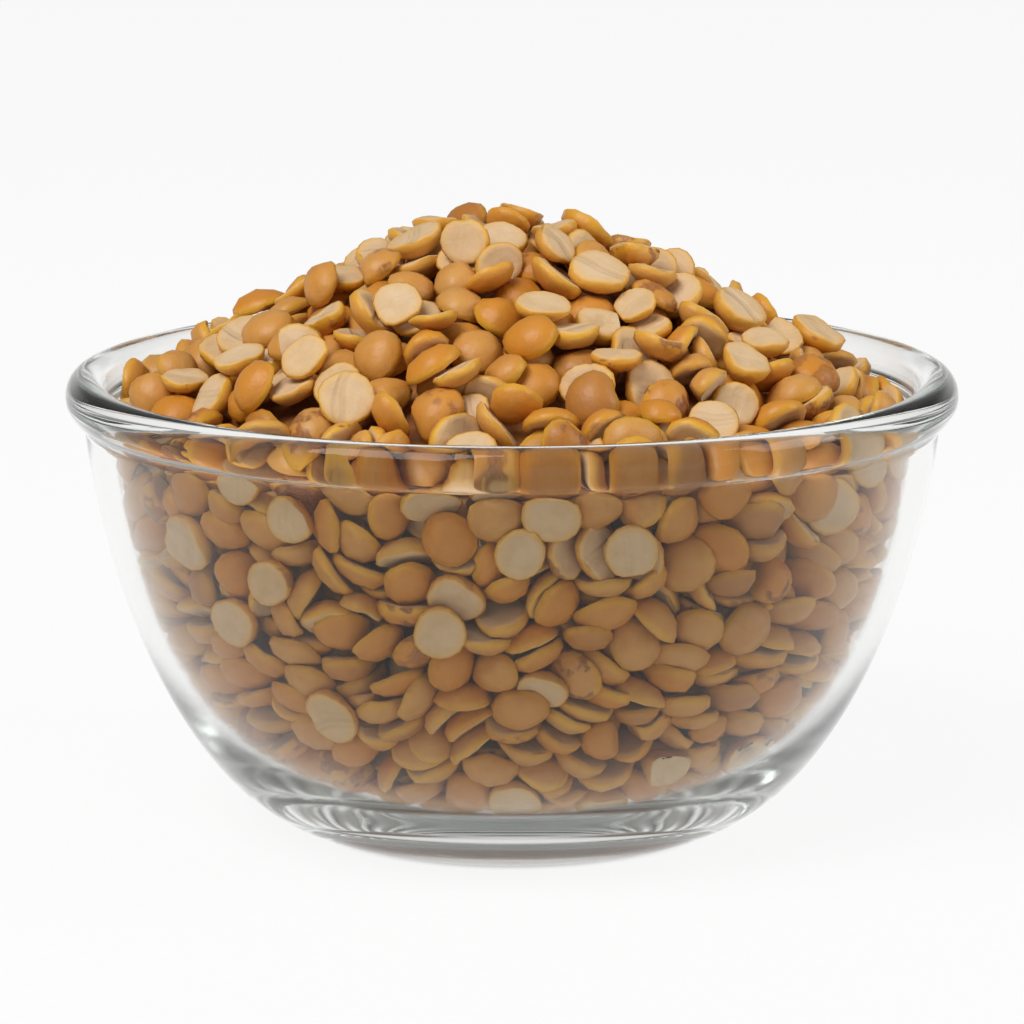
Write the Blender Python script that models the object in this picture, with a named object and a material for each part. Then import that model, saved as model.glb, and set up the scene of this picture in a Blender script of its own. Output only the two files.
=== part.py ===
"""A small glass prep bowl heaped with dry split lentils, in two solids.

The bowl is turned from one profile: a flat foot, a wall that thins as it rises, and a rim that is
rolled outwards into a bead. The lentils are one solid that fills the bowl and stands above it as an
uneven heap. Metres, +Z up. The origin is the centre of the foot, on the surface the bowl stands on.
"""

import math

import bmesh
import bpy
from mathutils import Vector, noise

MM = 0.001

# Driving dimensions
RIM_RADIUS = 45.0 * MM  # to the outside of the bead
BOWL_HEIGHT = 46.4 * MM
FOOT_RADIUS = 19.4 * MM  # flat disc that the bowl rests on
FLOOR_THICKNESS = 2.7 * MM
NECK_RADIUS = 43.3 * MM  # outside of the wall, just under the bead
MOUTH_RADIUS = 41.1 * MM  # inside of the rim
HEAP_TOP = 63.7 * MM
HEAP_EDGE = 45.8 * MM  # height of the lentils where they meet the rim
HEAP_LEAN = -1.0 * MM  # how far the top of the heap lies off the axis, along X

# Rim bead
BEAD_OVERHANG = 1.7 * MM  # from the top of the bead to its outside
BEAD_HALF_HEIGHT = 2.2 * MM
LIP_DROP = 1.3 * MM  # how far the inner edge of the rim rounds over
NECK_DROP = 4.6 * MM  # from the top of the rim to the neck under the bead
FOOT_EDGE_RADIUS = 0.5 * MM

# The outside of the wall is cut at the neck from a curve that would reach its full radius above it
WALL_CURVE_HEIGHT = 44.0 * MM

# Exponents of the two wall curves: larger runs fuller before it turns
OUTER_TURN, OUTER_RISE = 1.938, 1.584
INNER_TURN, INNER_RISE = 4.4, 1.456

# Clearance and mesh density
FILL_GAP = 0.3 * MM
BOWL_SEGMENTS = 72
HEAP_SEGMENTS = 90
OUTER_WALL_STEPS = 9
INNER_WALL_STEPS = 9
BEAD_STEPS = 7
LIP_STEPS = 3
HEAP_RINGS = 15
SURFACE_PATTERN = 5.6 * MM  # about one lentil
SURFACE_DEPTH = 0.9 * MM
HEAP_ROUNDING = 0.17  # share of the heap's radius over which its top is rounded


def outer_wall_radius(height):
    """Outside radius of the wall: a foot disc that swells into a nearly upright wall."""
    drop = max(0.0, 1.0 - height / WALL_CURVE_HEIGHT)
    swell = (1.0 - drop**OUTER_RISE) ** (1.0 / OUTER_TURN)
    return FOOT_RADIUS + (NECK_RADIUS - FOOT_RADIUS) * swell


def inner_wall_radius(height, inset=0.0):
    """Inside radius of the wall, taken in by inset, from the axis at the floor to the mouth."""
    mouth_height = BOWL_HEIGHT - LIP_DROP
    floor_height = FLOOR_THICKNESS + inset
    drop = max(0.0, (mouth_height - height) / (mouth_height - floor_height))
    swell = max(0.0, 1.0 - drop**INNER_RISE) ** (1.0 / INNER_TURN)
    return (MOUTH_RADIUS - inset) * swell


def arc(centre_r, centre_z, radius_r, radius_z, start, end, steps):
    """Points of an elliptical arc in the profile plane, from start to end in degrees."""
    points = []
    for i in range(steps + 1):
        angle = math.radians(start + (end - start) * i / steps)
        points.append((centre_r + radius_r * math.cos(angle), centre_z + radius_z * math.sin(angle)))
    return points


def wall_heights(low, high, steps, ease):
    """Heights from low to high, closer together near low, where the wall curves most."""
    return [low + (high - low) * (i / steps) ** ease for i in range(steps + 1)]


def outer_wall():
    """From the rounded edge of the foot up to the neck."""
    foot_edge = arc(FOOT_RADIUS, FOOT_EDGE_RADIUS, FOOT_EDGE_RADIUS, FOOT_EDGE_RADIUS, -90, -40, 2)
    neck_height = BOWL_HEIGHT - NECK_DROP
    heights = wall_heights(FOOT_EDGE_RADIUS, neck_height, OUTER_WALL_STEPS, 1.6)
    return foot_edge[:-1] + [(outer_wall_radius(z), z) for z in heights]


def rim():
    """From under the bead, round its outside, over the top and down to the mouth."""
    bead_r = RIM_RADIUS - BEAD_OVERHANG
    bead = arc(bead_r, BOWL_HEIGHT - BEAD_HALF_HEIGHT, BEAD_OVERHANG, BEAD_HALF_HEIGHT, -72, 90, BEAD_STEPS)
    lip = arc(bead_r, BOWL_HEIGHT - LIP_DROP, bead_r - MOUTH_RADIUS, LIP_DROP, 90, 180, LIP_STEPS)
    return bead + lip[1:]


def inner_wall(inset=0.0):
    """From the mouth down to the middle of the floor, in by inset from the glass."""
    heights = wall_heights(FLOOR_THICKNESS + inset, BOWL_HEIGHT - LIP_DROP, INNER_WALL_STEPS, 2.4)
    return [(inner_wall_radius(z, inset), z) for z in reversed(heights)]


def turn(name, profile, segments):
    """A mesh object made by turning a profile that starts and ends on the axis."""
    mesh = bpy.data.meshes.new(name)
    bm = bmesh.new()
    verts = [bm.verts.new((r, 0.0, z)) for r, z in profile]
    edges = [bm.edges.new(pair) for pair in zip(verts, verts[1:])]
    bmesh.ops.spin(
        bm,
        geom=verts + edges,
        cent=(0, 0, 0),
        axis=(0, 0, 1),
        angle=math.tau,
        steps=segments,
        use_merge=True,
    )
    bmesh.ops.remove_doubles(bm, verts=bm.verts, dist=0.01 * MM)
    bmesh.ops.recalc_face_normals(bm, faces=bm.faces)
    bm.to_mesh(mesh)
    bm.free()
    mesh.shade_smooth()
    obj = bpy.data.objects.new(name, mesh)
    bpy.context.scene.collection.objects.link(obj)
    return obj


def material(name, colour, roughness, transmission=0.0):
    """A Principled BSDF with one colour."""
    made = bpy.data.materials.new(name)
    made.use_nodes = True
    shader = made.node_tree.nodes["Principled BSDF"]
    shader.inputs["Base Color"].default_value = (*colour, 1.0)
    shader.inputs["Roughness"].default_value = roughness
    shader.inputs["Metallic"].default_value = 0.0
    shader.inputs["Transmission Weight"].default_value = transmission
    return made


def heap_height(radius):
    """Height of the heap's surface: a cone that is rounded over at its top."""
    edge_radius = MOUTH_RADIUS - FILL_GAP
    rounding = HEAP_ROUNDING * edge_radius
    slant = math.hypot(radius, rounding) - rounding
    full = math.hypot(edge_radius, rounding) - rounding
    return HEAP_TOP - (HEAP_TOP - HEAP_EDGE) * slant / full


def lentil_bumps(x, y):
    """Unevenness of a surface of loose lentils, from -1 to 1."""
    distances, _ = noise.voronoi(Vector((x, y, 0.0)) / SURFACE_PATTERN)
    return 1.0 - 2.0 * min(1.0, distances[0])


def make_bowl():
    """The glass bowl."""
    profile = [(0.0, 0.0), *outer_wall(), *rim(), *inner_wall()[1:]]
    bowl = turn("bowl", profile, BOWL_SEGMENTS)
    bowl.data.materials.append(material("clear_glass", (0.93, 0.95, 0.94), 0.02, 1.0))
    return bowl


def make_lentils():
    """The lentils as one solid: the bowl's inside and the heap above it."""
    side = inner_wall(FILL_GAP)[::-1]
    edge_radius, edge_height = side[-1]
    top = []
    for i in range(HEAP_RINGS + 1):
        radius = edge_radius * (1.0 - i / HEAP_RINGS)
        top.append((radius, heap_height(radius)))
    lentils = turn("lentils", side + top, HEAP_SEGMENTS)
    for vertex in lentils.data.vertices:
        x, y, z = vertex.co
        inward = 1.0 - math.hypot(x, y) / edge_radius
        if z > edge_height + FILL_GAP and inward > 1.0 / (2 * HEAP_RINGS):
            # The bumps and the lean both fade out at the rim, where the solid keeps its gap to the glass.
            fade = min(1.0, 3.0 * inward)
            vertex.co.z = z + SURFACE_DEPTH * lentil_bumps(x, y) * fade
            vertex.co.x = x + HEAP_LEAN * inward
    lentils.data.update()
    lentils.data.materials.append(material("dry_lentil", (0.56, 0.33, 0.11), 0.6))
    return lentils


def main():
    for obj in list(bpy.data.objects):
        bpy.data.objects.remove(obj, do_unlink=True)
    make_bowl()
    make_lentils()


main()
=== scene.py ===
"""A small glass prep bowl heaped with dry split lentils.

The bowl is turned in clear pressed glass. The lentils are halves of round pulses, poured into the
bowl over a smaller core: they fall, are levelled to the shape of the heap and settle again, and then
each is made as a rounded half with its own size, outline and colour. Metres, +Z up.
"""

import math
import random

import bmesh
import bpy
from bpy.props import FloatProperty, FloatVectorProperty, IntProperty, PointerProperty
from mathutils import Matrix, Quaternion, Vector, kdtree, noise


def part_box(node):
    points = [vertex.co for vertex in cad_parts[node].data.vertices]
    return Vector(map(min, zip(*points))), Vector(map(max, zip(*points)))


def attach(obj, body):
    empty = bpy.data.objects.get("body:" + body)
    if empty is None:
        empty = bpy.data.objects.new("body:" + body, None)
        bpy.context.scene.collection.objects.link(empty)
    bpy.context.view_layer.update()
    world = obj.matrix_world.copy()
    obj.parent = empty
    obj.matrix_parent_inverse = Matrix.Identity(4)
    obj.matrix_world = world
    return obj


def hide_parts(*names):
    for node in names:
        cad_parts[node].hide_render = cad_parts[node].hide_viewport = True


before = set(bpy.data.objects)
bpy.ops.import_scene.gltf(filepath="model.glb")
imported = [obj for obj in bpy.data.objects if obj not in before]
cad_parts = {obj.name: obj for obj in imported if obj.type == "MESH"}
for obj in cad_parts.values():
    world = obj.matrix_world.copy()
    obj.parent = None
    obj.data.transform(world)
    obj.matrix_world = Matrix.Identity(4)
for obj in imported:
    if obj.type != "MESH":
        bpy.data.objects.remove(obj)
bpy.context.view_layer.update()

BOWL_LOW, BOWL_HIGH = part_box("bowl")
LENTILS_LOW, LENTILS_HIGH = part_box("lentils")

bl_info = {
    "name": "Bowl of split lentils",
    "version": (1, 0, 0),
    "blender": (4, 5, 0),
    "location": "3D View > Sidebar > Lentils",
    "description": "Makes a glass prep bowl heaped with dry split lentils, and a studio round it",
    "category": "Add Mesh",
}

MM = 0.001

# Glass bowl: how the profile is drawn
BEAD_OVERHANG = 1.7 * MM  # from the top of the bead to its outside
BEAD_HALF_HEIGHT = 2.2 * MM
LIP_DROP = 1.3 * MM  # how far the inner edge of the rim rounds over
NECK_DROP = 4.6 * MM  # from the top of the rim to the neck under the bead
FOOT_EDGE_RADIUS = 0.5 * MM
WALL_CURVE_HEIGHT = 44.0 * MM  # the outside of the wall is cut at the neck from a curve this high
OUTER_TURN, OUTER_RISE = 1.938, 1.584  # larger runs fuller before it turns
INNER_TURN, INNER_RISE = 4.4, 1.456
BOWL_STEPS = 192
WALL_STEPS = 44
BEAD_STEPS = 22
LIP_STEPS = 10
FOOT_EDGE_STEPS = 8

LIGHT_TURNS = 20  # how often light turns in the thick glass before it is given up
PAPER_GLOW = 0.91

# Heap
HEAP_ROUNDING = 0.17  # share of the heap's radius over which its top is rounded
GLASS_GAP = 0.3 * MM

# Pouring, in millimetres and seconds
COLUMN_PITCH = 6.1  # between neighbouring columns of falling lentils
LAYER_PITCH = 3.2
HALF_DEPTH = 1.03  # depth of the bowl that one half of a column fills, less a spare share
CORE_DEPTH = 9.0  # from the glass to the core
TOP_DEPTH = 6.0  # from the surface of the heap to the core
GRAVITY = 1500.0
POUR_FRAMES = 34
SETTLE_FRAMES = 12
STEPS_PER_FRAME = 8
FACE_UP_SHARE = 0.60  # of the halves, dropped with the flat face up
FACE_OUT_SHARE = 0.24  # of those next to the glass, dropped with the flat face towards it
LEAST_APART = 1.7  # between the middles of two halves
STANDING_ROOM = 1.4  # above and below a half that stands
SETTLED_SLACK = 1.5  # that a settled half may stand out of the levelled heap
FRAMES_PER_SECOND = 24
SOLVER_TURNS = 12
GLASS_FRICTION, CORE_FRICTION, LENTIL_FRICTION = 0.35, 1.0, 1.1
FIXED_MARGIN, LENTIL_MARGIN = 0.05, 0.04  # that the physics keeps round a body
OUTER_COLUMN = 2.7  # from the glass to the middle of the outermost columns
STANDING_BELT = 9.0  # next to the glass, where halves may be dropped standing
CROWD, CROWD_FROM, CROWD_WIDTH = 0.50, 0.72, 0.28  # columns near the glass are fuller, as shares
LOWEST_START = 1.6  # above the glass or the core
START_JITTER = 0.15
START_LEAN = 0.35  # usual lean of a half that is dropped lying, in radians
STANDING_DROOP = 0.2  # how far down the face of a standing half looks


class GlassBowlSettings(bpy.types.PropertyGroup):
    """Sizes and tint of the bowl."""

    rim_radius: FloatProperty(
        name="Rim radius",
        description="From the axis to the outside of the rolled rim",
        default=(BOWL_HIGH.x - BOWL_LOW.x) / 2,
        unit="LENGTH",
    )
    height: FloatProperty(
        name="Height",
        description="From the foot to the top of the rim",
        default=BOWL_HIGH.z - BOWL_LOW.z,
        unit="LENGTH",
    )
    foot_radius: FloatProperty(
        name="Foot radius",
        description="Radius of the flat disc that the bowl rests on",
        default=19.4 * MM,
        unit="LENGTH",
    )
    floor_thickness: FloatProperty(
        name="Floor thickness",
        description="Thickness of the glass under the lentils",
        default=2.7 * MM,
        unit="LENGTH",
    )
    neck_radius: FloatProperty(
        name="Neck radius",
        description="Outside of the wall, just under the rolled rim",
        default=43.3 * MM,
        unit="LENGTH",
    )
    mouth_radius: FloatProperty(
        name="Mouth radius",
        description="Inside of the rim",
        default=41.1 * MM,
        unit="LENGTH",
    )
    tint: FloatVectorProperty(
        name="Tint",
        description="Colour that thick glass takes",
        default=(0.66, 0.78, 0.72),
        subtype="COLOR",
        min=0.0,
        max=1.0,
    )


class LentilSettings(bpy.types.PropertyGroup):
    """Sizes, number and colours of the lentils."""

    heap_top: FloatProperty(
        name="Heap top",
        description="Height of the middle of the heap above the foot",
        default=LENTILS_HIGH.z - 0.4 * MM,
        unit="LENGTH",
    )
    heap_edge: FloatProperty(
        name="Heap edge",
        description="Height of the lentils where they meet the rim",
        default=45.8 * MM,
        unit="LENGTH",
    )
    length: FloatProperty(
        name="Length",
        description="Length of a common lentil half",
        default=5.7 * MM,
        unit="LENGTH",
    )
    width: FloatProperty(
        name="Width",
        description="Width of a common lentil half",
        default=5.2 * MM,
        unit="LENGTH",
    )
    thickness: FloatProperty(
        name="Thickness",
        description="From the flat face of a lentil half to the top of its dome",
        default=2.2 * MM,
        unit="LENGTH",
    )
    seed: IntProperty(
        name="Seed",
        description="Another number pours another heap",
        default=7,
        min=0,
    )
    dome_colour: FloatVectorProperty(
        name="Dome",
        description="Colour of the rounded outside of a half",
        default=(0.63, 0.245, 0.025),
        subtype="COLOR",
        min=0.0,
        max=1.0,
    )
    face_colour: FloatVectorProperty(
        name="Flat face",
        description="Colour of the flat face where the pulse was split",
        default=(0.73, 0.50, 0.27),
        subtype="COLOR",
        min=0.0,
        max=1.0,
    )
    # The edge colour is brighter and more saturated as painted light shining through the thin edge
    edge_colour: FloatVectorProperty(
        name="Edge",
        description="Colour of the rounded edge round the flat face",
        default=(0.78, 0.41, 0.034),
        subtype="COLOR",
        min=0.0,
        max=1.0,
    )
    skin_colour: FloatVectorProperty(
        name="Skin",
        description="Colour of the scraps of seed coat left on some halves",
        default=(0.25, 0.080, 0.022),
        subtype="COLOR",
        min=0.0,
        max=1.0,
    )


class StudioSettings(bpy.types.PropertyGroup):
    """Camera, floor and lights."""

    lens: FloatProperty(
        name="Lens",
        description="Focal length of the camera",
        default=155.4,
        unit="CAMERA",
    )
    distance: FloatProperty(
        name="Distance",
        description="From the camera to the middle of the bowl",
        default=0.450,
        unit="LENGTH",
    )
    elevation: FloatProperty(
        name="Elevation",
        description="Height of the camera above the horizon",
        default=math.radians(11.53),
        subtype="ANGLE",
    )
    aim_height: FloatProperty(
        name="Aim height",
        description="Height of the point that the camera looks at",
        default=31.46 * MM,
        unit="LENGTH",
    )
    room_light: FloatProperty(
        name="Room light",
        description="Strength of the light from the studio's white walls",
        default=0.9,
        min=0.0,
    )
    key_light: FloatProperty(
        name="Key light",
        description="Power of the softbox above the bowl, in watts",
        default=7.2,
        min=0.0,
    )


# Shader nodes


class Socket:
    """An output socket that takes part in Python arithmetic by adding Math nodes."""

    def __init__(self, nodes, output):
        self.nodes = nodes
        self.output = output

    def _math(self, operation, first, second):
        return self.nodes.add("ShaderNodeMath", {"operation": operation}, {0: first, 1: second})

    def __add__(self, other):
        return self._math("ADD", self, other)

    def __radd__(self, other):
        return self._math("ADD", other, self)

    def __sub__(self, other):
        return self._math("SUBTRACT", self, other)

    def __rsub__(self, other):
        return self._math("SUBTRACT", other, self)

    def __mul__(self, other):
        return self._math("MULTIPLY", self, other)

    def __rmul__(self, other):
        return self._math("MULTIPLY", other, self)


class Nodes:
    """The nodes of one material or world."""

    def __init__(self, owner):
        owner.use_nodes = True
        self.tree = owner.node_tree

    def add(self, kind, settings=None, inputs=None, output=0):
        """Adds a node: settings first, then the values or links of its sockets."""
        node = self.tree.nodes.new(kind)
        for key, value in (settings or {}).items():
            setattr(node, key, value)
        self.connect(node, inputs or {})
        return Socket(self, node.outputs[output])

    def connect(self, node, inputs):
        """Sets or links the sockets of a node."""
        for key, value in inputs.items():
            if isinstance(value, Socket):
                self.tree.links.new(value.output, node.inputs[key])
            else:
                node.inputs[key].default_value = value

    def axis(self, vector, index):
        """One coordinate of a vector."""
        return self.add("ShaderNodeSeparateXYZ", None, {0: vector}, output=index)

    def step(self, value, low, high):
        """0 below low and 1 above high, with a smooth change between them."""
        settings = {"interpolation_type": "SMOOTHSTEP"}
        inputs = {0: value, 1: low, 2: high, 3: 0.0, 4: 1.0}
        return self.add("ShaderNodeMapRange", settings, inputs)

    def mix(self, share, first, second):
        """Mixes two colours."""
        colours = {6: opaque(first), 7: opaque(second)}
        return self.add("ShaderNodeMix", {"data_type": "RGBA"}, {0: share, **colours}, output=2)

    def offset(self, vector, shift):
        """The sum of two vectors."""
        return self.add("ShaderNodeVectorMath", {"operation": "ADD"}, {0: vector, 1: shift})

    def stretch(self, vector, factor):
        """A vector times a number."""
        return self.add("ShaderNodeVectorMath", {"operation": "SCALE"}, {0: vector, 3: factor})

    def noise(self, vector, scale, detail=2.0, roughness=0.5):
        """Smooth noise, about 0.3 to 0.7."""
        inputs = {"Vector": vector, "Scale": scale, "Detail": detail, "Roughness": roughness}
        return self.add("ShaderNodeTexNoise", None, inputs)

    def bump(self, height, distance, strength=1.0):
        """A normal pushed by a height."""
        inputs = {"Height": height, "Distance": distance, "Strength": strength}
        return self.add("ShaderNodeBump", None, inputs)


def opaque(colour):
    """A colour with its alpha, or the socket it comes from."""
    return colour if isinstance(colour, Socket) else (*colour[:3], 1.0)


def new_material(name):
    """A material, its nodes and its Principled BSDF."""
    material = bpy.data.materials.new(name)
    nodes = Nodes(material)
    return material, nodes, nodes.tree.nodes["Principled BSDF"]


def glass_material(bowl):
    """Clear pressed glass: a little uneven on its surface, and tinted where it is thick."""
    material, nodes, shader = new_material("clear_glass")
    place = nodes.add("ShaderNodeTexCoord", None, None, output=3)
    inside = nodes.add("ShaderNodeAttribute", {"attribute_name": "inside"}, None, output=2)
    slow = nodes.noise(place, 60.0, 1.0)
    height = nodes.bump(slow, 0.12 * MM, 0.12)
    inputs = {
        "Base Color": (0.955, 0.958, 0.945, 1.0),
        "Roughness": inside * 0.08,
        "IOR": 1.5,
        "Transmission Weight": 1.0,
        "Specular Tint": (0.35, 0.35, 0.35, 1.0),
        "Normal": height,
    }
    nodes.connect(shader, inputs)
    depth = {"Color": opaque(bowl.tint), "Density": 6.0}
    absorbed = nodes.add("ShaderNodeVolumeAbsorption", None, depth)
    nodes.connect(nodes.tree.nodes["Material Output"], {"Volume": absorbed})
    return material


def lentil_material(name, lentils, crease=0.0, skin=0.0):
    """A lentil half: a tan dome, a yellow edge whose brighter colour is painted light shining through
    it, and a pale flat face, with scraps of skin on some.
    """
    material, nodes, shader = new_material(name)
    half = nodes.add("ShaderNodeAttribute", {"attribute_name": "half"}, None, output=1)
    lot = nodes.add("ShaderNodeAttribute", {"attribute_name": "lot"}, None, output=1)
    x, y, z = (nodes.axis(half, i) for i in range(3))
    paler, browner, shift = (nodes.axis(lot, i) for i in range(3))
    own = nodes.offset(half, nodes.stretch(lot, 37.0))

    # How much of each point is flat face, and how much is edge
    flat = 1.0 - nodes.step(z, 0.01, 0.09)
    edge = 1.0 - nodes.step(z, 0.12, 0.60)
    cloud = nodes.noise(own, 1.4, 3.0)
    speck = nodes.noise(own, 9.0, 2.0, 0.6)

    dome = nodes.mix(nodes.step(paler, 0.15, 0.85), lentils.dome_colour, (0.64, 0.315, 0.080))
    dome = nodes.mix(nodes.step(browner, 0.84, 0.97) * 0.65, dome, (0.36, 0.135, 0.032))
    dome = nodes.mix(nodes.step(cloud, 0.42, 0.72) * 0.45, dome, (0.56, 0.22, 0.028))
    # Painted light: the thin edge is brighter and more saturated, as if light shone through it
    dome = nodes.mix(edge * (0.35 + 0.6 * shift), dome, lentils.edge_colour)
    dome = nodes.mix(nodes.step(speck, 0.60, 0.78) * 0.35, dome, (0.36, 0.15, 0.04))

    middle = 1.0 - nodes.step(x * x + y * y, 0.30, 0.80)
    face = nodes.mix(paler * 0.6, lentils.face_colour, (0.72, 0.53, 0.34))
    face = nodes.mix(nodes.step(cloud, 0.40, 0.70) * 0.45, face, (0.62, 0.40, 0.19))
    face = nodes.mix(nodes.step(speck, 0.52, 0.75) * 0.22, face, (0.55, 0.36, 0.19))
    face = nodes.mix((1.0 - middle) * 0.55, face, (0.76, 0.44, 0.12))
    relief = cloud * 0.8 + speck * 0.14
    if crease:
        # A shallow valley runs along the flat face and bends a little, with a fine darker line at its
        # bottom that is painted shade in the crease
        bend = nodes.noise(own, 0.7, 0.0)
        off = x + (bend - 0.5) * 0.7
        square = off * off
        valley = 1.0 - nodes.step(square, 0.0, 0.10)
        line = 1.0 - nodes.step(square, 0.0, 0.012)
        face = nodes.mix(line * (0.20 * crease), face, (0.44, 0.24, 0.09))
        relief = relief - (valley * 0.9 + line * 0.15) * flat * crease
    colour = nodes.mix(flat, dome, face)
    if skin:
        # Scraps of brown seed coat, with islands rubbed off
        coat = nodes.noise(nodes.offset(own, (5.0, 3.0, 1.0)), 0.85, 2.5, 0.6)
        rubbed = nodes.noise(own, 2.6, 2.0)
        covered = nodes.step(coat, 0.60 - 0.12 * skin, 0.67 - 0.12 * skin)
        covered = covered * (1.0 - nodes.step(rubbed, 0.58, 0.66) * 0.8)
        shade = nodes.mix(nodes.step(speck, 0.35, 0.65), lentils.skin_colour, (0.38, 0.15, 0.050))
        covered = covered * (1.0 - flat * 0.85) * (0.6 + 0.4 * shift)
        colour = nodes.mix(covered, colour, shade)
        relief = relief + covered * 0.15
    rough = 0.38 + 0.30 * flat + 0.12 * speck
    inputs = {
        "Base Color": colour,
        "Roughness": rough,
        "IOR": 1.45,
        "Specular IOR Level": 0.5,
        "Normal": nodes.bump(relief, 0.20 * MM),
    }
    nodes.connect(shader, inputs)
    return material


def core_material():
    """The inside of the heap, seen only in the gaps between lentils, coloured dark brown as painted
    shade of the deep gaps.
    """
    material, nodes, shader = new_material("lentil_depths_painted_shade")
    place = nodes.add("ShaderNodeTexCoord", None, None, output=3)
    patches = nodes.noise(place, 260.0, 3.0)
    # Painted shade: dark and darker brown patches stand in for the shadowed lentils deep in the gaps
    colour = nodes.mix(nodes.step(patches, 0.35, 0.65), (0.16, 0.045, 0.008), (0.36, 0.14, 0.030))
    inputs = {
        "Base Color": colour,
        "Roughness": 0.8,
        "Normal": nodes.bump(patches, 0.8 * MM),
    }
    nodes.connect(shader, inputs)
    return material


def floor_material(bowl):
    """Pale matt studio paper, with a ring of painted shade under the edge of the foot, less dark in
    its middle.
    """
    material, nodes, shader = new_material("studio_paper")
    place = nodes.add("ShaderNodeTexCoord", None, None, output=3)
    x, y = nodes.axis(place, 0), nodes.axis(place, 1)
    foot = bowl.foot_radius**2
    square = x * x + y * y
    # Painted shade: the paper's glow is dimmed most in a ring under the edge of the foot, less in its
    # middle, and full beyond the foot
    middle = 1.0 - nodes.step(square, foot * 0.2, foot * 0.6)
    painted_light = nodes.step(square, foot * 0.90, foot * 1.30) + 0.55 * middle
    fibre = nodes.noise(place, 900.0, 2.0)
    colour = nodes.mix(fibre, (0.06, 0.06, 0.06), (0.08, 0.08, 0.08))
    inputs = {
        "Base Color": colour,
        "Roughness": 0.9,
        "Specular IOR Level": 0.1,
        # The dark colour is the painted shade under the foot
        "Emission Color": nodes.mix(painted_light, (0.14, 0.12, 0.11), (1.0, 1.0, 1.0)),
        "Emission Strength": PAPER_GLOW,
    }
    nodes.connect(shader, inputs)
    return material


# Shapes


def link(name, bm):
    """A smooth-shaded object in the scene from a bmesh, which is freed."""
    mesh = bpy.data.meshes.new(name)
    bm.to_mesh(mesh)
    bm.free()
    mesh.shade_smooth()
    obj = bpy.data.objects.new(name, mesh)
    bpy.context.scene.collection.objects.link(obj)
    return obj


def turned(profile, steps):
    """A bmesh turned from a profile of (radius, height) that starts and ends on the axis."""
    bm = bmesh.new()
    verts = [bm.verts.new((r, 0.0, z)) for r, z in profile]
    edges = [bm.edges.new(pair) for pair in zip(verts, verts[1:])]
    bmesh.ops.spin(
        bm,
        geom=verts + edges,
        cent=(0, 0, 0),
        axis=(0, 0, 1),
        angle=math.tau,
        steps=steps,
        use_merge=True,
    )
    smallest = max(r for r, _ in profile) * 1e-5
    bmesh.ops.remove_doubles(bm, verts=bm.verts, dist=smallest)
    bmesh.ops.recalc_face_normals(bm, faces=bm.faces)
    return in_order(bm)


def in_order(bm):
    """The same mesh with its faces in one set order, so that each pour comes out the same."""
    bm.verts.index_update()
    loops = []
    for face in bm.faces:
        corners = [vert.index for vert in face.verts]
        first = corners.index(min(corners))
        loops.append(corners[first:] + corners[:first])
    ordered = bmesh.new()
    verts = [ordered.verts.new(vert.co) for vert in bm.verts]
    for corners in sorted(loops):
        ordered.faces.new([verts[corner] for corner in corners])
    bm.free()
    ordered.normal_update()
    return ordered


def arc(centre_r, centre_z, radius_r, radius_z, start, end, steps):
    """Points of an elliptical arc in the profile plane, from start to end in degrees."""
    points = []
    for i in range(steps + 1):
        angle = math.radians(start + (end - start) * i / steps)
        points.append((centre_r + radius_r * math.cos(angle), centre_z + radius_z * math.sin(angle)))
    return points


def wall_curve(low, high, turn, rise, steps, share=1.0):
    """A wall that swells from low to high, both (radius, height), and turns upright on the way.

    share is how much of the height is drawn.
    """
    last = math.acos((1.0 - share) ** (rise / 2.0))
    points = []
    for i in range(steps + 1):
        angle = last * i / steps
        swell = math.sin(angle) ** (2.0 / turn)
        drop = max(0.0, math.cos(angle)) ** (2.0 / rise)
        radius = low[0] + (high[0] - low[0]) * swell
        points.append((radius, high[1] - (high[1] - low[1]) * drop))
    return points


def inner_wall(bowl, steps, inset=0.0):
    """The inside of the bowl from the middle of its floor to the mouth, in by inset."""
    low = (0.0, bowl.floor_thickness + inset)
    high = (bowl.mouth_radius - inset, bowl.height - LIP_DROP)
    return wall_curve(low, high, INNER_TURN, INNER_RISE, steps)


def bowl_profile(bowl):
    """The bowl's profile, from the middle of the foot round to the middle of the inside floor."""
    edge = FOOT_EDGE_RADIUS
    foot = arc(bowl.foot_radius, edge, edge, edge, -90, -40, FOOT_EDGE_STEPS)
    wall_low = (bowl.foot_radius, 0.0)
    wall_high = (bowl.neck_radius, WALL_CURVE_HEIGHT)
    share = (bowl.height - NECK_DROP) / WALL_CURVE_HEIGHT
    outer = wall_curve(wall_low, wall_high, OUTER_TURN, OUTER_RISE, WALL_STEPS, share)
    outer = [point for point in outer if point[1] > foot[-1][1]]
    bead_r = bowl.rim_radius - BEAD_OVERHANG
    bead_z = bowl.height - BEAD_HALF_HEIGHT
    bead = arc(bead_r, bead_z, BEAD_OVERHANG, BEAD_HALF_HEIGHT, -72, 90, BEAD_STEPS)
    lip_z = bowl.height - LIP_DROP
    lip = arc(bead_r, lip_z, bead_r - bowl.mouth_radius, LIP_DROP, 90, 180, LIP_STEPS)
    inside = inner_wall(bowl, WALL_STEPS)[::-1]
    return [(0.0, 0.0), *foot, *outer, *bead, *lip[1:], *inside[1:]]


def heap_height(bowl, lentils, radius):
    """Height of the heap's surface: a cone that is rounded over at its top."""
    edge_radius = bowl.mouth_radius - GLASS_GAP
    rounding = HEAP_ROUNDING * edge_radius
    slant = math.hypot(radius, rounding) - rounding
    full = math.hypot(edge_radius, rounding) - rounding
    return lentils.heap_top - (lentils.heap_top - lentils.heap_edge) * slant / full


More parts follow.
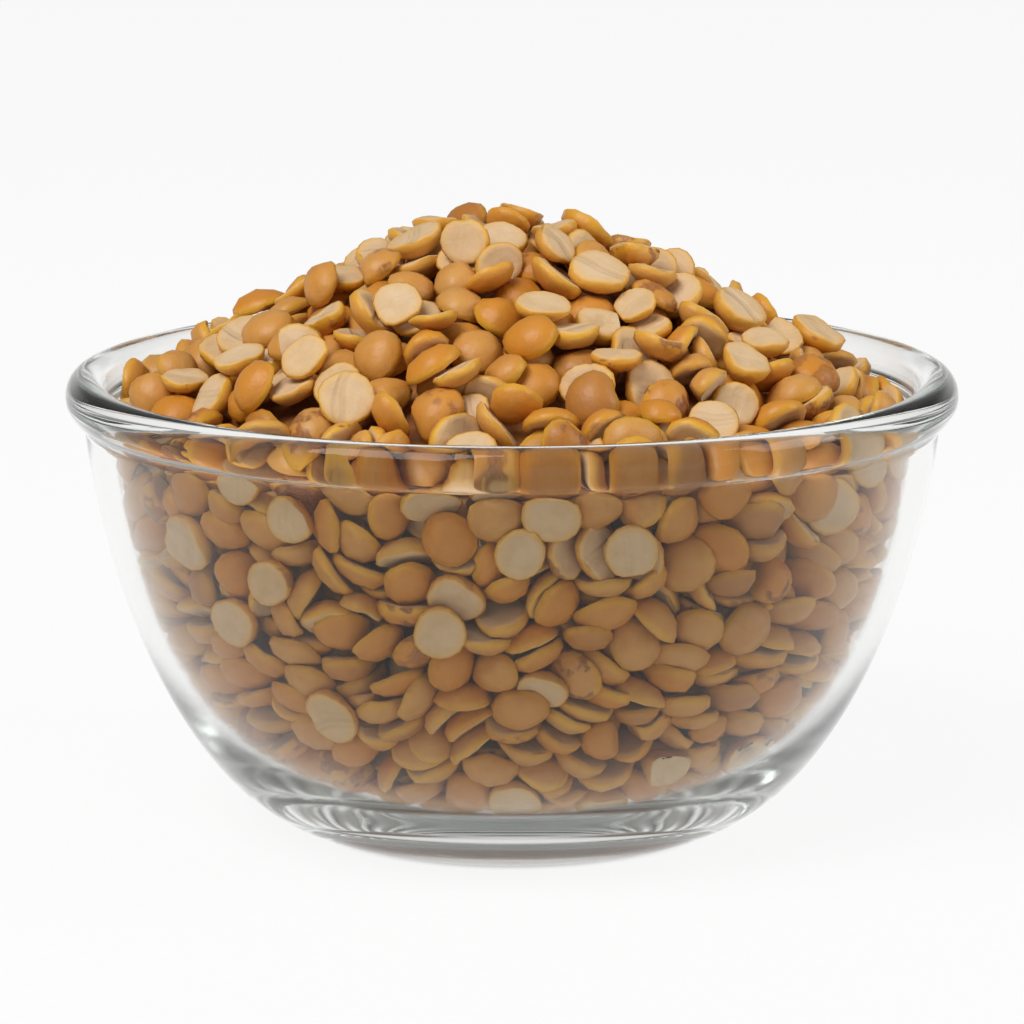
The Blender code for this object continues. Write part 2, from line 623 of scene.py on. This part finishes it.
def core_profile(bowl, lentils, steps):
    """The lentils' outline, drawn in from the glass and from the heap's surface."""
    side = inner_wall(bowl, steps, CORE_DEPTH * MM)
    radius = side[-1][0]
    top = []
    for i in range(steps + 1):
        r = radius * (1 - i / steps)
        top.append((r, heap_height(bowl, lentils, r) - TOP_DEPTH * MM))
    side = [point for point in side if point[1] < top[0][1] - 1.0 * MM]
    return side + top


# Lentil halves

SIDES = 16  # round the outline of a half
# Half of a section through a half, as shares of its radius and thickness: flat face, edge and dome
HALF_PROFILE = ((0, 0), (0.70, 0), (0.88, 0), (0.99, 0.11), (0.93, 0.45), (0.62, 0.82), (0, 1))
HULL_PROFILE = ((0, 0), (0.97, 0), (0.93, 0.45), (0.58, 0.84), (0, 1))
CENTRE_SHARE = 0.38  # height of a half's centre of mass, as a share of its thickness
FACE_DISH = 0.15  # how far the middle of a flat face is hollowed, as a share of the thickness
SLIMMING = 0.98  # the finished halves are this much smaller than those that fell
VARIANTS = 4  # shapes of one kind
CONTACT_GAP = 0.04 * MM  # between the halves and the glass that they rest on

# Name, share of the heap, notch depth, most chips, crease, skin
KINDS = (
    ("plain", 0.36, 0.0, 0, 0.0, 0.0),
    ("creased", 0.20, 0.08, 0, 1.0, 0.0),
    ("notched", 0.18, 0.22, 0, 0.3, 0.0),
    ("chipped", 0.17, 0.0, 2, 0.5, 0.1),
    ("skinned", 0.09, 0.08, 0, 0.0, 1.0),
)


def half_shape(rng, notch, chips):
    """A bmesh of one half, of radius 1 and height 1, with its flat face on z = 0."""
    bm = turned(HALF_PROFILE, SIDES)
    middle = min(bm.verts, key=lambda vert: vert.co.length)
    bmesh.ops.dissolve_verts(bm, verts=[middle])
    for _ in range(chips):
        angle = rng.uniform(0, math.tau)
        lean = rng.uniform(-0.4, 0.6)
        normal = Vector((math.cos(angle), math.sin(angle), lean)).normalized()
        reach = rng.uniform(0.50, 0.80)
        for vert in bm.verts:
            vert.co -= normal * max(0.0, vert.co.dot(normal) - reach) * 0.92
    if notch:
        spread = rng.uniform(0.25, 0.45)
        for vert in bm.verts:
            x, y = vert.co.x, vert.co.y
            near = math.exp(-((x / spread) ** 2)) * max(0.0, y) ** 2
            vert.co.y -= notch * near * (1.0 - 0.6 * vert.co.z)
    return in_order(bm)


class Half:
    """One lentil half: its kind, its size in millimetres and where it lies."""

    def __init__(self, rng, lentils):
        self.kind = rng.choices(range(len(KINDS)), [kind[1] for kind in KINDS])[0]
        grown = rng.gauss(1.0, 0.06)
        self.size = Vector(
            (
                lentils.length / MM / 2 * grown * rng.gauss(1.0, 0.03),
                lentils.width / MM / 2 * grown * rng.gauss(1.0, 0.05),
                lentils.thickness / MM * grown * rng.gauss(1.0, 0.06),
            )
        )
        self.matrix = Matrix()


def pouring_hull(lentils):
    """A coarse mesh of the common half for the fall, with its origin at its centre of mass."""
    bm = turned(HULL_PROFILE, 8)
    size = Vector((lentils.length / 2, lentils.width / 2, lentils.thickness)) / MM
    bmesh.ops.translate(bm, verts=bm.verts, vec=(0, 0, -CENTRE_SHARE))
    bmesh.ops.scale(bm, verts=bm.verts, vec=size)
    mesh = bpy.data.meshes.new("pouring_hull")
    bm.to_mesh(mesh)
    bm.free()
    return mesh


def column_spans(bowl, lentils, core, radius):
    """Lowest and highest heights, in millimetres, of the free stretches of a column."""
    floor = height_on(inner_wall(bowl, 60), radius) / MM
    top = heap_height(bowl, lentils, radius) / MM
    if radius > core["radius"]:
        return [(floor, top)]
    under = height_on(core["side"], radius) / MM
    over = top - TOP_DEPTH
    return [(floor, under), (over, top)]


def height_on(curve, radius):
    """Height at which a rising curve reaches a radius."""
    for (r0, z0), (r1, z1) in zip(curve, curve[1:]):
        if r1 >= radius:
            return z0 + (z1 - z0) * (radius - r0) / max(r1 - r0, 1e-9)
    return curve[-1][1]


def starting_places(rng, bowl, lentils):
    """Positions, in millimetres, and turns that the halves fall from."""
    core = {
        "radius": bowl.mouth_radius - CORE_DEPTH * MM,
        "side": inner_wall(bowl, 60, CORE_DEPTH * MM),
    }
    wall = bowl.mouth_radius / MM
    rows = int(wall / (COLUMN_PITCH * math.sqrt(0.75))) + 1
    places = []
    for row in range(-rows, rows + 1):
        for column in range(-rows, rows + 1):
            x = (column + 0.5 * (row % 2)) * COLUMN_PITCH
            y = row * COLUMN_PITCH * math.sqrt(0.75)
            radius = math.hypot(x, y)
            if radius > wall - OUTER_COLUMN:
                continue
            crowd = 1.0 + CROWD * max(0.0, radius / wall - CROWD_FROM) / CROWD_WIDTH
            for low, high in column_spans(bowl, lentils, core, (radius + 1.5) * MM):
                height = low + LOWEST_START + rng.uniform(0.0, 1.5)
                if high < heap_height(bowl, lentils, radius * MM) / MM - 4.0:
                    count = int((high - low - 1.0) / LAYER_PITCH)
                else:
                    count = round((high - low) * crowd / HALF_DEPTH) + 2
                for _ in range(count):
                    jitter_x = rng.uniform(-START_JITTER, START_JITTER)
                    jitter_y = rng.uniform(-START_JITTER, START_JITTER)
                    stands = radius > wall - STANDING_BELT and rng.random() < FACE_OUT_SHARE
                    if stands:
                        turn = standing_turn(rng, x, y)
                        height += STANDING_ROOM
                    else:
                        turn = starting_turn(rng)
                    places.append((Vector((x + jitter_x, y + jitter_y, height)), turn))
                    height += LAYER_PITCH + STANDING_ROOM * stands
    return places


def standing_turn(rng, x, y):
    """A half stands with its flat face outwards, and a little down."""
    outward = Vector((x, y, 0)).normalized() + Vector((0, 0, -STANDING_DROOP))
    spin = Quaternion((0, 0, 1), rng.uniform(0, math.tau))
    return Vector((0, 0, -1)).rotation_difference(outward) @ spin


def starting_turn(rng):
    """A half lies roughly level, either way up."""
    spin = Quaternion((0, 0, 1), rng.uniform(0, math.tau))
    lean_axis = rng.uniform(0, math.tau)
    lean = Quaternion((math.cos(lean_axis), math.sin(lean_axis), 0), rng.gauss(0, START_LEAN))
    over = Quaternion((1, 0, 0), math.pi if rng.random() < FACE_UP_SHARE else 0.0)
    return lean @ over @ spin


def add_bodies(objects, kind, shape, friction, margin):
    """Gives objects rigid bodies."""
    for obj in bpy.context.selected_objects:
        obj.select_set(False)
    for obj in objects:
        obj.select_set(True)
    bpy.context.view_layer.objects.active = objects[0]
    bpy.ops.rigidbody.objects_add(type=kind)
    for obj in objects:
        body = obj.rigid_body
        body.collision_shape = shape
        body.friction = friction
        body.restitution = 0.0
        body.use_margin = True
        body.collision_margin = margin
        body.linear_damping = 0.3
        body.angular_damping = 0.8
        obj.select_set(False)


def run_frames(frames):
    """Plays the fall from its start."""
    scene = bpy.context.scene
    cache = scene.rigidbody_world.point_cache
    cache.frame_start, cache.frame_end = 1, frames
    for frame_number in range(1, frames + 1):
        scene.frame_set(frame_number)


def mould(bowl):
    """The inside of the bowl with a tall sleeve above the rim, in millimetres."""
    wall = inner_wall(bowl, 18)
    tall = bowl.height * 2.6
    outside = bowl.rim_radius * 1.1
    profile = [*wall, (bowl.mouth_radius, tall), (outside, tall), (outside, -5 * MM), (0.0, -5 * MM)]
    return link("mould", turned([(r / MM, z / MM) for r, z in profile], 48))


def rough_core(bowl, lentils):
    """The solid that the poured halves lie on, in millimetres."""
    profile = core_profile(bowl, lentils, 12)
    bm = turned([(r / MM, z / MM) for r, z in profile], 40)
    for vert in bm.verts:
        vert.co += vert.co.normalized() * noise.noise(vert.co * 0.35) * 1.6
    return link("rough_core", bm)


def pour(bowl, lentils):
    """Drops halves into the bowl, levels them to the heap and lets them settle again."""
    rng = random.Random(lentils.seed)
    scene = bpy.context.scene
    scene.gravity = (0, 0, -GRAVITY)
    scene.render.fps = FRAMES_PER_SECOND
    bpy.ops.rigidbody.world_add()
    world = scene.rigidbody_world
    world.collection = bpy.data.collections.new("falling")
    world.substeps_per_frame = STEPS_PER_FRAME
    world.solver_iterations = SOLVER_TURNS
    world.use_split_impulse = True
    fixed = [mould(bowl), rough_core(bowl, lentils)]
    add_bodies(fixed[:1], "PASSIVE", "MESH", GLASS_FRICTION, FIXED_MARGIN)
    add_bodies(fixed[1:], "PASSIVE", "MESH", CORE_FRICTION, FIXED_MARGIN)
    hull = pouring_hull(lentils)
    common = Vector((lentils.length / 2, lentils.width / 2, lentils.thickness)) / MM
    falling = []
    halves = []
    for place, turn in starting_places(rng, bowl, lentils):
        half = Half(rng, lentils)
        obj = bpy.data.objects.new("falling", hull)
        scene.collection.objects.link(obj)
        obj.rotation_mode = "QUATERNION"
        obj.location = place
        obj.rotation_quaternion = turn
        obj.scale = [a / b for a, b in zip(half.size, common)]
        falling.append(obj)
        halves.append(half)
    add_bodies(falling, "ACTIVE", "CONVEX_HULL", LENTIL_FRICTION, LENTIL_MARGIN)
    run_frames(POUR_FRAMES)
    keep = []
    for half, obj in zip(halves, falling):
        half.matrix = obj.matrix_world.copy()
        keep.append(in_heap(bowl, lentils, half.matrix.translation))
    scene.frame_set(1)
    kept = []
    for half, obj, kept_here in zip(halves, falling, keep):
        if kept_here:
            obj.matrix_world = half.matrix
            kept.append((half, obj))
        else:
            bpy.data.objects.remove(obj)
    run_frames(SETTLE_FRAMES)
    for half, obj in kept:
        place, turn, _ = obj.matrix_world.decompose()
        half.matrix = Matrix.LocRotScale(place, turn, None)
    bpy.ops.rigidbody.world_remove()
    scene.frame_set(1)
    for obj in [obj for _, obj in kept] + fixed:
        bpy.data.objects.remove(obj)
    settled = []
    for half, _ in kept:
        if in_heap(bowl, lentils, half.matrix.translation, SETTLED_SLACK):
            settled.append(half)
    return set_apart(settled)


def set_apart(halves):
    """Leaves out a half that is pressed into one before it, with their middles too near."""
    tree = kdtree.KDTree(len(halves))
    for index, half in enumerate(halves):
        tree.insert(half.matrix.translation, index)
    tree.balance()
    apart = []
    gone = set()
    for index, half in enumerate(halves):
        near = tree.find_range(half.matrix.translation, LEAST_APART)
        if any(other < index and other not in gone for _, other, _ in near):
            gone.add(index)
        else:
            apart.append(half)
    return apart


def in_heap(bowl, lentils, place, slack=0.0):
    """Whether a point, in millimetres, is in the bowl and below the heap's surface."""
    radius = math.hypot(place.x, place.y) * MM
    top = heap_height(bowl, lentils, radius) / MM - 0.9 + slack
    glass = height_on(inner_wall(bowl, 40), radius) / MM
    return radius < bowl.mouth_radius - 0.5 * MM and glass + 0.4 < place.z < top


def keep_off_glass(bowl, point):
    """Moves a point that would be in the glass to just inside it."""
    reach = bowl.mouth_radius - CONTACT_GAP
    mouth = bowl.height - LIP_DROP
    floor = bowl.floor_thickness + CONTACT_GAP
    drop = min(1.0, max(0.0, (mouth - point.z) / (mouth - floor)))
    allowed = reach * (1.0 - drop**INNER_RISE) ** (1.0 / INNER_TURN)
    radius = math.hypot(point.x, point.y)
    if radius <= allowed:
        return
    if radius < 0.8 * reach:
        lift = (1.0 - (radius / reach) ** INNER_TURN) ** (1.0 / INNER_RISE)
        point.z = mouth - (mouth - floor) * lift
    else:
        point.x *= allowed / radius
        point.y *= allowed / radius


def join_halves(name, bowl, halves, kind, seed):
    """One mesh of all the halves of a kind, each with its own unevenness and its own lot of colour."""
    rng = random.Random(seed)
    _, _, notch, most_chips, _, _ = kind
    shapes = []
    for i in range(VARIANTS):
        bm = half_shape(rng, notch * rng.uniform(0.5, 1.3), min(most_chips, 1 + i % 2))
        shape = bpy.data.meshes.new("shape")
        bm.to_mesh(shape)
        bm.free()
        shapes.append(shape)
    joined = bmesh.new()
    half_layer = joined.verts.layers.float_vector.new("half")
    lot_layer = joined.verts.layers.float_vector.new("lot")
    for half in halves:
        start = len(joined.verts)
        joined.from_mesh(rng.choice(shapes))
        joined.verts.ensure_lookup_table()
        verts = joined.verts[start:]
        lot = Vector((rng.random(), rng.random(), rng.random()))
        where = lot * 50.0
        for vert in verts:
            vert[half_layer] = vert.co
            vert[lot_layer] = lot
            swell = noise.noise(vert.co * 0.9 + where) * 0.13
            swell += noise.noise(vert.co * 2.2 + where) * 0.05
            vert.co *= SLIMMING + swell
            if vert.co.z < 0.2:
                flat_place = Vector((vert.co.x, vert.co.y, 0.0))
                vert.co.z += 0.20 * noise.noise(flat_place * 1.3 + where)
                vert.co.z += FACE_DISH * max(0.0, 1.0 - flat_place.length)
        size = Matrix.Diagonal((*half.size, 1.0))
        centre = Matrix.Translation((0, 0, -CENTRE_SHARE * half.size.z))
        placed = Matrix.Scale(MM, 4) @ half.matrix @ centre @ size
        bmesh.ops.transform(joined, matrix=placed, verts=verts)
        for vert in verts:
            keep_off_glass(bowl, vert.co)
    for shape in shapes:
        bpy.data.meshes.remove(shape)
    return link(name, joined)


# Operators


class LENTILS_OT_glass_bowl(bpy.types.Operator):
    """Make the glass bowl"""

    bl_idname = "lentils.glass_bowl"
    bl_label = "Glass bowl"

    def execute(self, context):
        settings = context.scene.glass_bowl
        bm = turned(bowl_profile(settings), BOWL_STEPS)
        inside_layer = bm.verts.layers.float.new("inside")
        wall = inner_wall(settings, 60)
        mouth = wall[-1][1]
        for vert in bm.verts:
            radius = math.hypot(vert.co.x, vert.co.y)
            near_wall = abs(vert.co.z - height_on(wall, radius)) < 0.4 * MM
            if near_wall or abs(radius - wall[-1][0]) < 0.01 * MM:
                below_mouth = min(1.0, max(0.0, 1.6 * (mouth - vert.co.z) / mouth))
                off_floor = min(1.0, max(0.0, 4.0 * radius / settings.mouth_radius - 1.8))
                vert[inside_layer] = below_mouth * off_floor
        bowl = link("glass_bowl", bm)
        bowl.data.materials.append(glass_material(settings))
        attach(bowl, "root")
        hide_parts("bowl")
        return {"FINISHED"}


class LENTILS_OT_core(bpy.types.Operator):
    """Make the core, dark with painted shade, that shows only in the gaps between the lentils"""

    bl_idname = "lentils.core"
    bl_label = "Core of the heap"

    def execute(self, context):
        bowl, lentils = context.scene.glass_bowl, context.scene.split_lentils
        bm = turned(core_profile(bowl, lentils, 40), 120)
        for vert in bm.verts:
            distances, _ = noise.voronoi(vert.co / (5.0 * MM))
            vert.co -= vert.normal * distances[0] * 1.5 * MM
        core = link("lentil_core", bm)
        core.data.materials.append(core_material())
        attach(core, "root")
        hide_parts("lentils")
        return {"FINISHED"}


class LENTILS_OT_halves(bpy.types.Operator):
    """Pour the lentil halves over the core, one piece for each kind"""

    bl_idname = "lentils.halves"
    bl_label = "Lentil halves"

    def execute(self, context):
        bowl, lentils = context.scene.glass_bowl, context.scene.split_lentils
        poured = pour(bowl, lentils)
        if not poured:
            raise RuntimeError("no lentils stayed in the bowl")
        for index, kind in enumerate(KINDS):
            name, _, _, _, crease, skin = kind
            halves = [half for half in poured if half.kind == index]
            piece = join_halves("halves_" + name, bowl, halves, kind, lentils.seed + index)
            piece.data.materials.append(lentil_material(name + "_lentil", lentils, crease, skin))
            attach(piece, "root")
            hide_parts("lentils")
        return {"FINISHED"}


class LENTILS_OT_studio(bpy.types.Operator):
    """Lay the floor, hang the lights and place the camera"""

    bl_idname = "lentils.studio"
    bl_label = "Studio"

    def execute(self, context):
        studio = context.scene.studio
        make_floor(context.scene.glass_bowl)
        light_room(studio)
        hang_softbox("key_softbox", (-0.35, -0.45, 0.75), 0.55, studio.key_light)
        hang_softbox("side_softbox", (0.75, -0.15, 0.45), 0.40, studio.key_light * 0.35)
        place_camera(studio)
        context.scene.view_settings.view_transform = "Standard"
        let_light_through(context.scene.cycles)
        return {"FINISHED"}


def let_light_through(cycles):
    """Lets light turn back and forth in the thick glass until it gets out."""
    cycles.max_bounces = LIGHT_TURNS
    cycles.glossy_bounces = LIGHT_TURNS
    cycles.transmission_bounces = LIGHT_TURNS


def make_floor(bowl):
    """A wide disc of paper just under the foot."""
    bm = bmesh.new()
    bmesh.ops.create_circle(bm, cap_ends=True, segments=64, radius=4.0)
    bmesh.ops.translate(bm, verts=bm.verts, vec=(0, 0, -0.05 * MM))
    floor = link("floor", bm)
    floor.data.materials.append(floor_material(bowl))


def light_room(studio):
    """White walls, with grey cards at both sides and a darker ceiling for the glass's grey streaks."""
    world = bpy.data.worlds.new("studio_room")
    bpy.context.scene.world = world
    nodes = Nodes(world)
    direction = nodes.add("ShaderNodeTexCoord", None, None, output=0)
    side, back, up = (nodes.axis(direction, i) for i in range(3))
    front = -1.0 * back
    walls = 1.0 - nodes.step(up, 0.10, 0.30) * (0.70 + 0.22 * nodes.step(front, -0.3, 0.3))
    cards = 1.0 - 0.62 * nodes.step(side * side, 0.03, 0.40)
    nodes.connect(nodes.tree.nodes["Background"], {"Strength": walls * cards * studio.room_light})
    nodes.tree.nodes["Background"].inputs["Color"].default_value = (1.0, 0.995, 0.985, 1.0)


def hang_softbox(name, place, width, power):
    """A square area light that faces the bowl."""
    light = bpy.data.lights.new(name, "AREA")
    light.size = width
    light.energy = power
    obj = bpy.data.objects.new(name, light)
    bpy.context.scene.collection.objects.link(obj)
    obj.location = place
    beam = Vector((0, 0, 0.04)) - Vector(place)
    obj.rotation_euler = beam.to_track_quat("-Z", "Y").to_euler()


def place_camera(studio):
    """A long lens, a little above the rim."""
    data = bpy.data.cameras.new("camera")
    data.lens = studio.lens
    data.sensor_width = 36.0
    data.clip_start = 0.01
    camera = bpy.data.objects.new("camera", data)
    bpy.context.scene.collection.objects.link(camera)
    aim = Vector((0, 0, studio.aim_height))
    back = Vector((0, -math.cos(studio.elevation), math.sin(studio.elevation)))
    camera.location = aim + back * studio.distance
    camera.rotation_euler = (-back).to_track_quat("-Z", "Y").to_euler()
    bpy.context.scene.camera = camera


class LENTILS_PT_panel(bpy.types.Panel):
    """Lists the settings and the operators"""

    bl_idname = "LENTILS_PT_panel"
    bl_label = "Bowl of lentils"
    bl_space_type = "VIEW_3D"
    bl_region_type = "UI"
    bl_category = "Lentils"

    def draw(self, context):
        for group in (context.scene.glass_bowl, context.scene.split_lentils, context.scene.studio):
            box = self.layout.box()
            for key in group.bl_rna.properties.keys():
                if key not in {"rna_type", "name"}:
                    box.prop(group, key)
        for operator in OPERATORS:
            self.layout.operator(operator.bl_idname)


SETTINGS = {
    "glass_bowl": GlassBowlSettings,
    "split_lentils": LentilSettings,
    "studio": StudioSettings,
}
OPERATORS = (
    LENTILS_OT_glass_bowl,
    LENTILS_OT_core,
    LENTILS_OT_halves,
    LENTILS_OT_studio,
)


def register():
    for name, group in SETTINGS.items():
        bpy.utils.register_class(group)
        setattr(bpy.types.Scene, name, PointerProperty(type=group))
    for operator in OPERATORS:
        bpy.utils.register_class(operator)
    bpy.utils.register_class(LENTILS_PT_panel)


def unregister():
    bpy.utils.unregister_class(LENTILS_PT_panel)
    for operator in reversed(OPERATORS):
        bpy.utils.unregister_class(operator)
    for name, group in SETTINGS.items():
        delattr(bpy.types.Scene, name)
        bpy.utils.unregister_class(group)


def main():
    register()
    bpy.ops.lentils.glass_bowl()
    bpy.ops.lentils.core()
    bpy.ops.lentils.halves()
    bpy.ops.lentils.studio()


if __name__ == "__main__":
    main()
